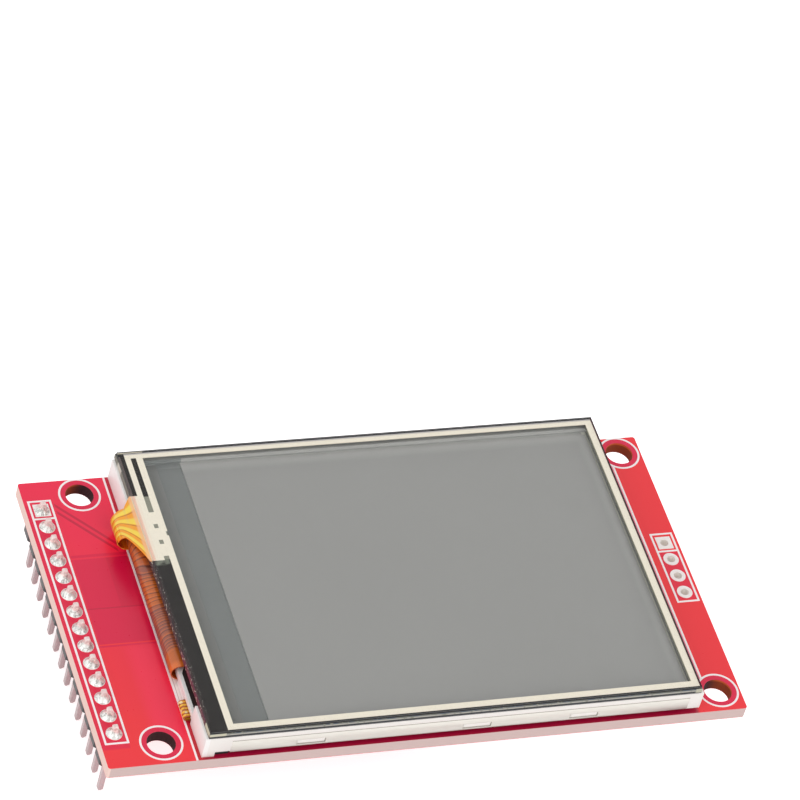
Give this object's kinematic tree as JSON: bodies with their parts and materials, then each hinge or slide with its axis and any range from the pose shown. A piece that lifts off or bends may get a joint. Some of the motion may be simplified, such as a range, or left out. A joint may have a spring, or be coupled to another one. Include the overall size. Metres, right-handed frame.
{
  "type": "tft display module",
  "caption": "Small colour display with a resistive touch panel on a drilled circuit board, with a pin header at one end and a memory card socket underneath.",
  "frame": {"origin": "centre of the four mounting holes, on the circuit board's underside", "axes": "+Z out of the screen, +X along the board from the pin header to the side pads, +Y to the back"},
  "size_m": [0.0762, 0.0423, 0.014],
  "materials": {
    "board_laminate": "red solder mask, glossy",
    "legend_ink": "white printed ink",
    "tinned_copper": "tinned, dull bright",
    "header_plastic": "black moulded",
    "pin_metal": "tinned pin",
    "solder": "bright solder",
    "black_foam": "black foam tape",
    "tray_steel": "thin sheet, satin",
    "frame_plastic": "white moulded",
    "white_film": "white film",
    "clear_acrylic": "clear, polished",
    "clear_film": "clear, ribbed",
    "flex_film": "amber film with copper tracks",
    "black_tape": "black adhesive tape",
    "polariser_film": "dark grey film",
    "cell_glass": "clear, cut edge",
    "silicon": "dark, polished",
    "touch_glass": "clear, cut edge",
    "silver_ink": "beige silver ink",
    "touch_film": "clear film, satin",
    "led_plastic": "white moulding, pale yellow lens",
    "socket_plastic": "black moulded",
    "socket_steel": "satin sheet",
    "gold_contact": "gold plated",
    "chip_epoxy": "black epoxy",
    "capacitor_ceramic": "tan ceramic",
    "resistor_ceramic": "dark ceramic"
  },
  "bodies": {
    "root": {"circuit_board": "board_laminate", "legend_print": "legend_ink", "header_pads": "tinned_copper", "side_pads": "tinned_copper", "header_body": "header_plastic", "header_pin_1": "pin_metal", "header_pin_2": "pin_metal", "header_pin_3": "pin_metal", "header_pin_4": "pin_metal", "header_pin_5": "pin_metal", "header_pin_6": "pin_metal", "header_pin_7": "pin_metal", "header_pin_8": "pin_metal", "header_pin_9": "pin_metal", "header_pin_10": "pin_metal", "header_pin_11": "pin_metal", "header_pin_12": "pin_metal", "header_pin_13": "pin_metal", "header_pin_14": "pin_metal", "header_solder": "solder", "mounting_tape": "black_foam", "metal_tray": "tray_steel", "plastic_frame": "frame_plastic", "reflector_sheet": "white_film", "light_guide": "clear_acrylic", "backlight_flex": "flex_film", "backlight_led_1": "led_plastic", "backlight_led_2": "led_plastic", "backlight_led_3": "led_plastic", "backlight_led_4": "led_plastic", "lower_diffuser": "white_film", "prism_sheet": "clear_film", "upper_diffuser": "white_film", "rim_tape": "black_tape", "rear_polariser": "polariser_film", "rear_glass": "cell_glass", "front_glass": "cell_glass", "front_polariser": "polariser_film", "driver_chip": "silicon", "ledge_tape": "black_tape", "display_flex": "flex_film", "flex_solder": "solder", "touch_adhesive": "black_tape", "touch_glass": "touch_glass", "touch_spacer": "black_tape", "touch_conductors": "silver_ink", "touch_film": "touch_film", "touch_tail": "flex_film", "card_socket_base": "socket_plastic", "card_socket_shell": "socket_steel", "card_socket_contacts": "gold_contact", "touch_controller": "chip_epoxy", "voltage_regulator": "chip_epoxy", "backlight_transistor": "chip_epoxy", "capacitors": "capacitor_ceramic", "resistors": "resistor_ceramic"}
  },
  "joints": []
}
